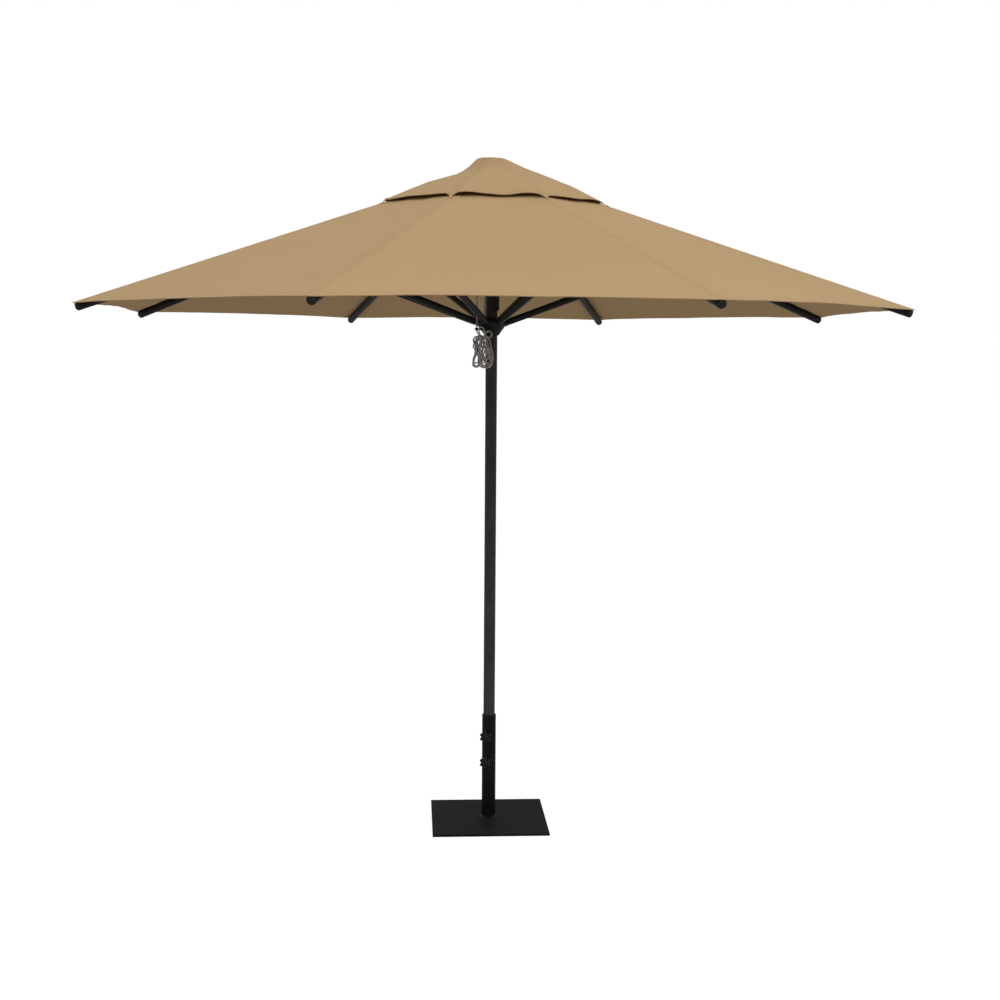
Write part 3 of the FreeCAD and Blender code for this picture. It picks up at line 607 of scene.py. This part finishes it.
# The crown patch closes the vent cap's top over the crown's disc.
ring = [vent[0, j] + vent_normals[0, j] * FABRIC / 2 for j in range(vent.shape[1])]
ring_low = [vent[0, j] - vent_normals[0, j] * FABRIC / 2 for j in range(vent.shape[1])]
rings = [ring]
for share in (0.8, 0.6, 0.4, 0.2):
    rings.append([Vector((p[0] * share, p[1] * share,
                          CROWN_Z + FABRIC / 2 + (p[2] - CROWN_Z - FABRIC / 2) * share ** 3))
                  for p in ring])
points = [p for r in rings for p in r] + [Vector((0, 0, CROWN_Z + FABRIC / 2))]
width = len(ring)
faces = [(a * width + j, a * width + (j + 1) % width, (a + 1) * width + (j + 1) % width,
          (a + 1) * width + j) for a in range(len(rings) - 1) for j in range(width)]
faces += [((len(rings) - 1) * width + j, (len(rings) - 1) * width + (j + 1) % width,
           len(rings) * width) for j in range(width)]
patch = make_mesh("crown_patch", points, faces, VENT_CLOTH)
layer = patch.data.uv_layers.new(name="Cloth")
for loop in patch.data.loops:
    p = patch.data.vertices[loop.vertex_index].co
    layer.data[loop.index].uv = (p.x + 0.2, p.y + 0.3)
solid = patch.modifiers.new("thickness", "SOLIDIFY")
solid.thickness, solid.offset = FABRIC, -1
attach(patch, "mast")


# A lining closes the top under the vent cap, where its sectors part as the ribs go down.
LINING = [(0.0585, CROWN_Z - 0.012), (0.075, CROWN_Z - 0.026), (0.094, CROWN_Z - 0.045),
          (0.112, CROWN_Z - 0.066)]
turns = 48
points = [(r * math.cos(2 * math.pi * k / turns), r * math.sin(2 * math.pi * k / turns), z)
          for r, z in LINING for k in range(turns)]
faces = [(i * turns + k, (i + 1) * turns + k, (i + 1) * turns + (k + 1) % turns,
          i * turns + (k + 1) % turns) for i in range(len(LINING) - 1) for k in range(turns)]
lining = make_mesh("crown_lining", points, faces, PLAIN_CLOTH)
layer = lining.data.uv_layers.new(name="Cloth")
for loop in lining.data.loops:
    i, k = divmod(loop.vertex_index, turns)
    layer.data[loop.index].uv = (0.1 + k * 0.011, 0.1 + i * 0.025)
solid = lining.modifiers.new("thickness", "SOLIDIFY")
solid.thickness, solid.offset = FABRIC, -1
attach(lining, "mast")

# Webbing tabs tie the vent cap's corners down to the canopy, one over each rib.
for rib in RIBS:
    corner = Vector(vent[-1, (rib - 1) * COLUMNS])
    out = math.hypot(corner.x, corner.y)
    line = [(out - 0.020, corner.z + 0.0095), (out - 0.010, corner.z + 0.0060),
            (out - 0.001, corner.z + 0.0022), (out + 0.003, ridge_z(out + 0.003) + 0.0040),
            (out + 0.006, ridge_z(out + 0.006) + 0.0020),
            (out + 0.011, ridge_z(out + 0.011) + 0.0009),
            (out + 0.024, ridge_z(out + 0.024) + 0.0009)]
    points = []
    for r, z in line:
        points += [radial(r, t, rib, z - 0.0003 * abs(t) / 0.007) for t in (-0.007, 0, 0.007)]
    faces = [(3 * i + k, 3 * i + 3 + k, 3 * i + 4 + k, 3 * i + 1 + k)
             for i in range(len(line) - 1) for k in range(2)]
    tab = make_mesh(f"vent_tab_{rib}", points, faces, PLAIN_CLOTH)
    layer = tab.data.uv_layers.new(name="Cloth")
    for loop in tab.data.loops:
        i, k = divmod(loop.vertex_index, 3)
        layer.data[loop.index].uv = (0.007 * (k - 1), 0.007 * i)
    solid = tab.modifiers.new("thickness", "SOLIDIFY")
    solid.thickness, solid.offset = 0.0018, 1
    round_off = tab.modifiers.new("round", "SUBSURF")
    round_off.levels = round_off.render_levels = 1
    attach(tab, f"rib_{rib}")


# ---------------------------------------------------------------- ropes
def nurbs_line(name, points):
    """The points down a smooth NURBS route through a few control points."""
    curve = bpy.data.curves.new(name, "CURVE")
    curve.dimensions, curve.resolution_u = "3D", 10
    spline = curve.splines.new("NURBS")
    spline.points.add(len(points) - 1)
    for target, p in zip(spline.points, points):
        target.co = (*p, 1)
    spline.order_u = 3
    spline.use_endpoint_u = True
    o = bpy.data.objects.new(name, curve)
    mesh = bpy.data.meshes.new_from_object(o)
    line = [v.co.copy() for v in mesh.vertices]
    bpy.data.meshes.remove(mesh)
    bpy.data.objects.remove(o)
    return line


def tube(name, line, radius, material, sides=12):
    """A round tube down a line, with closed ends and a UV map in metres."""
    thin = [line[0]]
    for p in line[1:]:
        if (p - thin[-1]).length > 1e-5:
            thin.append(p)
    line = thin
    tangents = []
    for i in range(len(line)):
        t = line[min(i + 1, len(line) - 1)] - line[max(i - 1, 0)]
        tangents.append(t.normalized())
    normal = tangents[0].orthogonal().normalized()
    points, faces, along, uvs = [], [], 0.0, []
    for i, (p, t) in enumerate(zip(line, tangents)):
        normal = (normal - t * normal.dot(t)).normalized()
        other = t.cross(normal)
        if i:
            along += (p - line[i - 1]).length
        for k in range(sides):
            a = 2 * math.pi * k / sides
            points.append(p + (normal * math.cos(a) + other * math.sin(a)) * radius)
        uvs.append(along)
    for i in range(len(line) - 1):
        for k in range(sides):
            n = (k + 1) % sides
            faces.append((i * sides + k, i * sides + n, (i + 1) * sides + n, (i + 1) * sides + k))
    for i, direction in ((0, -1), (len(line) - 1, 1)):
        points.append(line[i] + tangents[i] * direction * radius * 0.5)
        centre = len(points) - 1
        for k in range(sides):
            n = (k + 1) % sides
            a, b = i * sides + k, i * sides + n
            faces.append((b, a, centre) if direction < 0 else (a, b, centre))
    o = make_mesh(name, points, faces, material)
    layer = o.data.uv_layers.new(name="Cord")
    for polygon in o.data.polygons:
        for index, loop in zip(polygon.vertices, polygon.loop_indices):
            row, k = divmod(index, sides)
            if row >= len(line):
                layer.data[loop].uv = (0, 0)
            else:
                wrap = 1 if k == 0 and any(v % sides == sides - 1 for v in polygon.vertices) else 0
                layer.data[loop].uv = (uvs[row], k / sides + wrap)
    return o, line


EYE = Vector((-0.06582, -0.06138, 2.14874))  # the runner's eye, where the free end leaves it
HANK_LOW, HANK_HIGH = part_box("rope_hank")
ROPE_R, ROPE_LENGTH = 0.003, 3.7
POLE_R = 0.025


def loop_point(share, wide, tall):
    """A point of a slack loop of rope, clockwise from its top: round ends and straight sides."""
    arc, side = math.pi * wide, 2 * (tall - wide)
    half, along = divmod((share % 1) * 2 * (arc + side) + arc / 2, arc + side)
    flip = -1 if half == 1 else 1
    if along < arc:
        a = along / wide - math.pi / 2
        return flip * wide * math.sin(a), flip * (tall - wide + wide * math.cos(a))
    return flip * wide, flip * (tall - wide - (along - arc))


def coil(turns, back, front, count):
    """The hank: one loop after another from back to front, each easing over into the next in its
    second half."""
    out, pitch = [], (front - back) / len(turns)
    for number, turn in enumerate(turns):
        after = turns[min(number + 1, len(turns) - 1)]
        for i in range(count):
            share = i / count
            ease = max(0.0, 2 * share - 1)
            ease = ease * ease * (3 - 2 * ease)
            x, z, wide, tall, tilt = (p + (q - p) * ease for p, q in zip(turn, after))
            u, v = loop_point(share, wide, tall)
            c, d = math.cos(math.radians(tilt)), math.sin(math.radians(tilt))
            out.append((x + u * c + v * d, back + pitch * (number + share), z + v * c - u * d))
    return out


# Back to front: turns that hang in the left and the right lobe, then slanting ones over them.
TURNS = [
    (-0.054, 2.055, 0.0215, 0.073, 15), (-0.024, 2.052, 0.0215, 0.069, -7),
    (-0.058, 2.050, 0.0160, 0.064, 14), (-0.031, 2.046, 0.0220, 0.071, 2),
    (-0.050, 2.044, 0.0130, 0.058, 22), (-0.061, 2.064, 0.0205, 0.062, 10),
    (-0.021, 2.060, 0.0195, 0.060, -14), (-0.062, 2.078, 0.0170, 0.041, -12),
    (-0.036, 2.048, 0.0230, 0.073, -10), (-0.049, 2.066, 0.0180, 0.058, -25),
    (-0.031, 2.054, 0.0130, 0.066, -24), (-0.056, 2.046, 0.0130, 0.046, -30),
    (-0.040, 2.034, 0.0120, 0.042, 0),
]
FRONT, BACK = HANK_LOW.y + 0.0035, HANK_HIGH.y - 0.0035
LEAD = [EYE + Vector((0, 0, 0.004)), EYE + Vector((0, 0, -0.004)), (-0.0655, -0.0612, 2.138),
        (-0.061, -0.058, 2.129)]
# The end goes up to the ring beside the eye, over, and down to a small ring loop and its knot.
END = [(-0.052, -0.077, 2.122), (-0.057, -0.076, 2.137), (-0.057, -0.075, 2.149),
       (-0.052, -0.074, 2.157), (-0.042, -0.074, 2.157), (-0.037, -0.075, 2.149),
       (-0.036, -0.077, 2.137), (-0.029, -0.079, 2.120), (-0.017, -0.080, 2.112),
       (-0.004, -0.079, 2.119), (-0.003, -0.077, 2.134), (-0.016, -0.076, 2.142),
       (-0.030, -0.077, 2.134), (-0.037, -0.079, 2.118), (-0.034, -0.0795, 2.100),
       (-0.028, -0.0795, 2.082), (-0.020, -0.0795, 2.068)]


def untangle(points, rounds=220):
    """A small rope simulation of the hank's turns: strands push each other apart, keep their
    length, stay smooth and keep clear of the pole."""
    p = np.array(points, float)
    goal, count = p.copy(), len(p)
    rest = np.linalg.norm(np.diff(p, axis=0), axis=1, keepdims=True)
    apart = np.abs(np.subtract.outer(np.arange(count), np.arange(count))) > 6
    gap = 2 * ROPE_R + 0.0003
    low, high = np.array(HANK_LOW) + ROPE_R, np.array(HANK_HIGH) - ROPE_R
    high[2] = 10
    for _ in range(rounds):
        offset = p[:, None] - p[None]
        far = np.linalg.norm(offset, axis=2)
        near = (far < gap) & apart
        push = np.where(near, (gap - far) / np.maximum(far, 1e-6), 0)[..., None] * offset
        move = 0.35 * push.sum(1)
        size = np.linalg.norm(move, axis=1, keepdims=True)
        p += move * np.minimum(1, 0.002 / np.maximum(size, 1e-9))
        p[1:-1] += 0.14 * ((p[2:] + p[:-2]) / 2 - p[1:-1])
        p += 0.05 * (goal - p)
        step = np.diff(p, axis=0)
        size = np.linalg.norm(step, axis=1, keepdims=True)
        fix = step * (0.5 * (size - rest) / size)
        p[:-1] += fix
        p[1:] -= fix
        out = np.hypot(p[:, 0], p[:, 1])
        clear = POLE_R + ROPE_R + 0.001
        inside = out < clear
        p[inside, :2] *= (clear / out[inside])[:, None]
        p = np.clip(p, low, high)
    return p


LOOP_POINTS = 60
hank = untangle(coil(TURNS, BACK, FRONT, LOOP_POINTS))
# Every fourth point shapes the spline, 15 for each turn.
ROUTE = LEAD + [tuple(q) for q in hank[4:-4:4]] + END
rope, rope_line = tube("hoist_rope_end", nurbs_line("rope_route", ROUTE), ROPE_R, CORD)
# The stopper knot in the rope's end.
end = rope_line[-1]
knot_route = []
for i in range(22):
    a = 2 * math.pi * (i + 0.5) / 22.6
    knot_route.append(end + Vector((0.0021 * (math.sin(a) + 2 * math.sin(2 * a)),
                                    0.0024 * -math.sin(3 * a),
                                    0.0021 * (math.cos(a) - 2 * math.cos(2 * a)) - 0.002)))
knot, _ = tube("hoist_rope_knot", nurbs_line("knot_route", knot_route), ROPE_R, CORD)
for piece in (rope, knot):
    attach(piece, "runner")
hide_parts("rope_tail", "rope_hank")

# ---------------------------------------------------------------- stage, light and camera
floor_mesh = bpy.data.meshes.new("floor")
floor_mesh.from_pydata([(-60, -60, 0), (60, -60, 0), (60, 60, 0), (-60, 60, 0)], [], [(0, 1, 2, 3)])
floor = bpy.data.objects.new("floor", floor_mesh)
bpy.context.scene.collection.objects.link(floor)
# The camera sees a white floor and backdrop. What they throw back at the object is dimmer.
floor_look = Nodes("pale_floor")
floor_look.set(Base_Color=(0.50, 0.49, 0.48), Roughness=0.9, Specular_IOR_Level=0.0)
seen = floor_look.node("LightPath").outputs["Is Camera Ray"]
white = floor_look.node("Emission", Color=(1, 1, 1), Strength=0.97)
faint = floor_look.node("BsdfDiffuse", Color=(0.07, 0.07, 0.07))
pale = floor_look.node("AddShader")
floor_look.put(pale.inputs[0], white.outputs[0])
floor_look.put(pale.inputs[1], faint.outputs[0])
choice = floor_look.node("MixShader")
for socket, value in zip(choice.inputs, (seen, floor_look.shader.outputs[0], pale.outputs[0])):
    floor_look.put(socket, value)
surface = next(n for n in floor_look.tree.nodes if n.type == "OUTPUT_MATERIAL").inputs[0]
floor_look.tree.links.new(choice.outputs[0], surface)
floor_mesh.materials.append(floor_look.material)

world = bpy.data.worlds.new("studio")
bpy.context.scene.world = world
world.use_nodes = True
sky = world.node_tree
backdrop = sky.nodes["Background"]
dome = sky.nodes.new("ShaderNodeBackground")
where = sky.nodes.new("ShaderNodeTexCoord")
split = sky.nodes.new("ShaderNodeSeparateXYZ")
fade = sky.nodes.new("ShaderNodeMapRange")
pick = sky.nodes.new("ShaderNodeMixShader")
path = sky.nodes.new("ShaderNodeLightPath")
backdrop.inputs[0].default_value = dome.inputs[0].default_value = (1, 1, 1, 1)
for socket, value in zip(fade.inputs[1:5], (0.0, 0.75, 0.34, 0.96)):
    socket.default_value = value
sky.links.new(where.outputs["Generated"], split.inputs[0])
sky.links.new(split.outputs[2], fade.inputs[0])
sky.links.new(fade.outputs[0], dome.inputs[1])
sky.links.new(path.outputs["Is Camera Ray"], pick.inputs[0])
sky.links.new(dome.outputs[0], pick.inputs[1])
sky.links.new(backdrop.outputs[0], pick.inputs[2])
sky.links.new(pick.outputs[0], next(n for n in sky.nodes if n.type == "OUTPUT_WORLD").inputs[0])
bpy.context.scene.view_settings.view_transform = "Standard"


def area_light(name, place, target, size, power):
    data = bpy.data.lights.new(name, "AREA")
    data.shape, data.size, data.energy = "DISK", size, power
    o = bpy.data.objects.new(name, data)
    o.location = place
    o.rotation_mode = "QUATERNION"
    o.rotation_quaternion = (Vector(target) - Vector(place)).to_track_quat("-Z", "Y")
    bpy.context.scene.collection.objects.link(o)


area_light("key", (3.0, -6.5, 6.5), (0, 0, 2), 4, 150)

DISTANCE, HEIGHT, LENS = 6.4502, 2.0588, 53.896
PITCH, YAW, ROLL, SWING = (math.radians(a) for a in (-5.6991, 0.3682, 0.4044, 3.066))
forward = Vector((math.sin(YAW) * math.cos(PITCH), math.cos(YAW) * math.cos(PITCH), math.sin(PITCH)))
right = Vector((math.cos(YAW), -math.sin(YAW), 0))
up = right.cross(forward)
right, up = right * math.cos(ROLL) + up * math.sin(ROLL), up * math.cos(ROLL) - right * math.sin(ROLL)
turn_back = Matrix.Rotation(-SWING, 3, "Z")
camera_data = bpy.data.cameras.new("camera")
camera_data.sensor_width, camera_data.lens = 36, LENS
camera = bpy.data.objects.new("camera", camera_data)
bpy.context.scene.collection.objects.link(camera)
axes = [turn_back @ v for v in (right, up, -forward)]
spot = turn_back @ Vector((0, -DISTANCE, HEIGHT))
camera.matrix_world = Matrix([[axes[c][r] for c in range(3)] + [spot[r]] for r in range(3)]
                             + [[0, 0, 0, 1]])
bpy.context.scene.camera = camera

bpy.context.view_layer.update()
